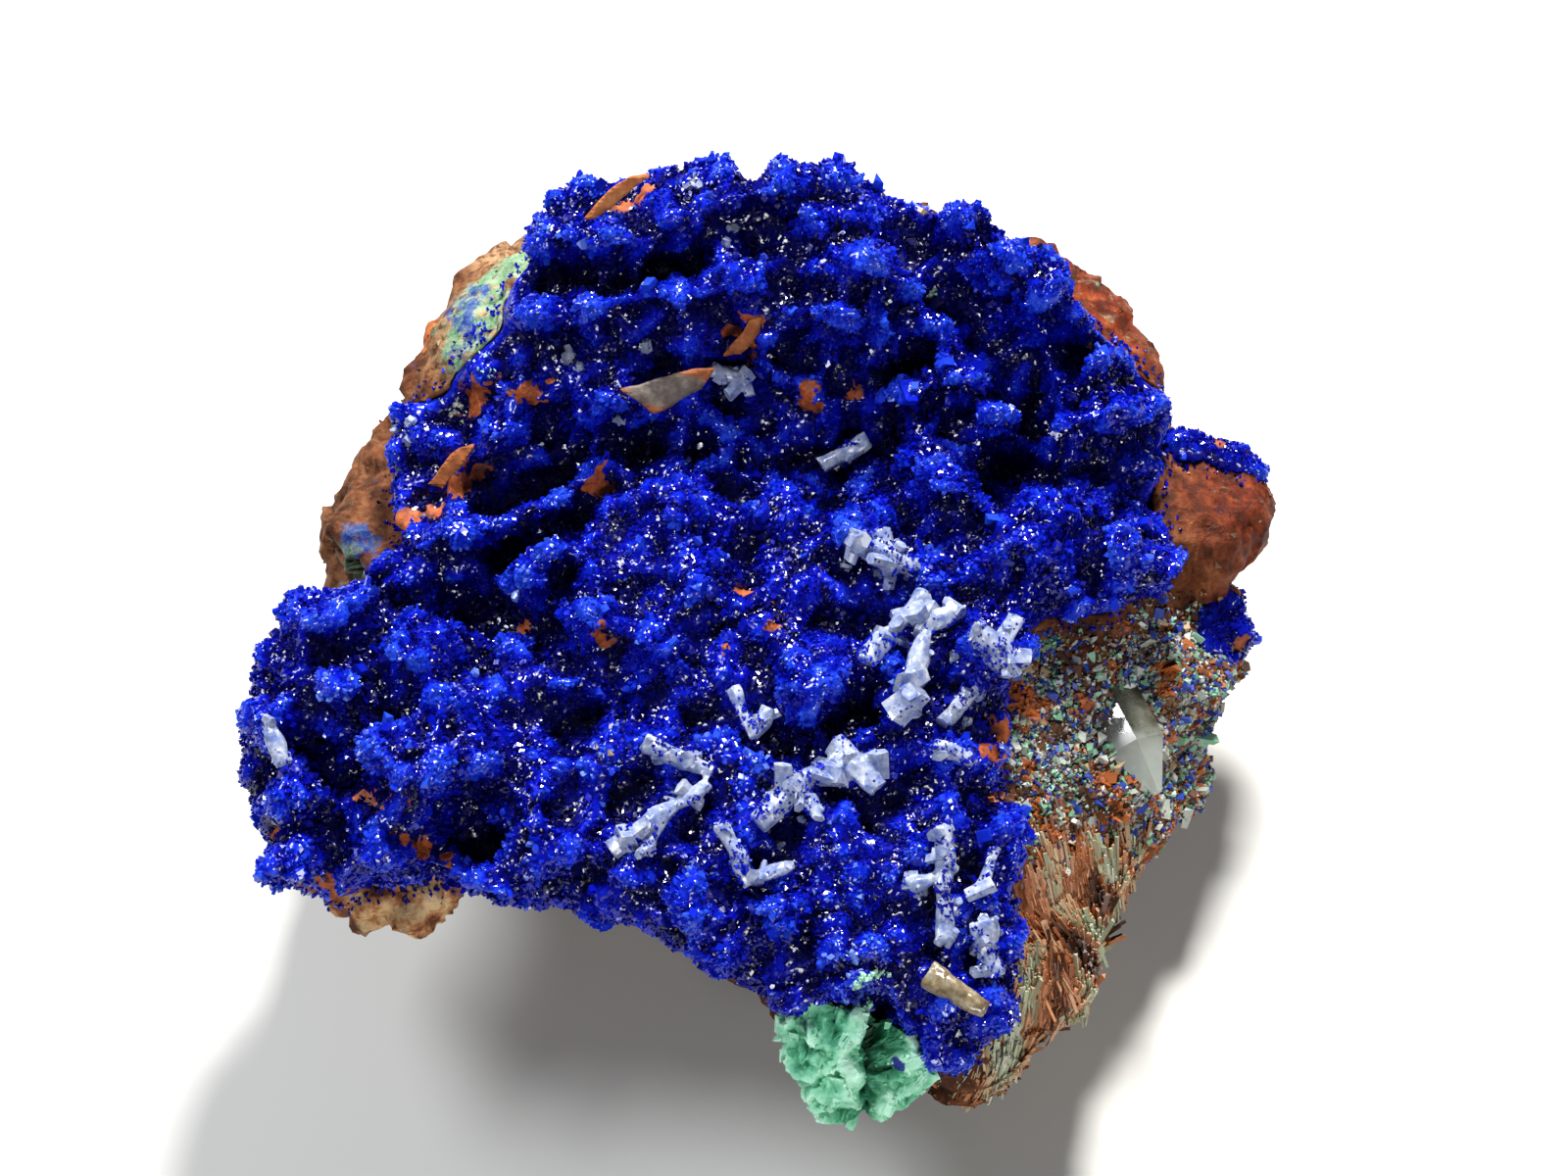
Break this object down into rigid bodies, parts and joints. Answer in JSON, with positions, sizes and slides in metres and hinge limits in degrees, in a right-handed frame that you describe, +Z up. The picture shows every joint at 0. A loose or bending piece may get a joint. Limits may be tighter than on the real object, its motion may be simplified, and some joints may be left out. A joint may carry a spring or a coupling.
{
  "type": "azurite mineral specimen",
  "caption": "Lumpy deep-blue azurite crust on a block of iron-stained rock, with green malachite at its front tip, a clear quartz crystal and pale lath crystals.",
  "frame": {"origin": "on the flat foot, below the middle of the crust", "axes": "+Z up from the foot, +X to the right as pictured, -Y toward the viewer"},
  "size_m": [0.0256, 0.0227, 0.015],
  "materials": {
    "azurite": "sparkling, finely crystalline",
    "rock": "rough, iron-stained",
    "malachite": "dull to silky",
    "quartz": "clear, glassy",
    "pale_crystal": "translucent, glassy",
    "tan_crystal": "translucent, glassy",
    "iron_flake": "matt, rusty"
  },
  "bodies": {
    "root": {"azurite_crust": "azurite", "azurite_knob": "azurite", "azurite_rim": "azurite", "matrix_rock": "rock", "malachite_cluster": "malachite", "quartz_crystal": "quartz", "lath_a": "pale_crystal", "lath_b": "pale_crystal", "lath_c": "pale_crystal", "lath_d": "pale_crystal", "lath_e": "pale_crystal", "lath_f": "pale_crystal", "lath_g": "pale_crystal", "lath_h": "pale_crystal", "lath_i": "pale_crystal", "lath_j": "pale_crystal", "lath_k": "pale_crystal", "lath_l": "pale_crystal", "lath_m": "pale_crystal", "lath_n": "pale_crystal", "lath_q": "pale_crystal", "lath_r": "pale_crystal", "lath_s": "pale_crystal", "lath_t": "tan_crystal", "lath_u": "pale_crystal", "flake_grey": "iron_flake", "flake_left": "iron_flake", "flake_orange": "iron_flake", "flake_top": "iron_flake"}
  },
  "joints": []
}
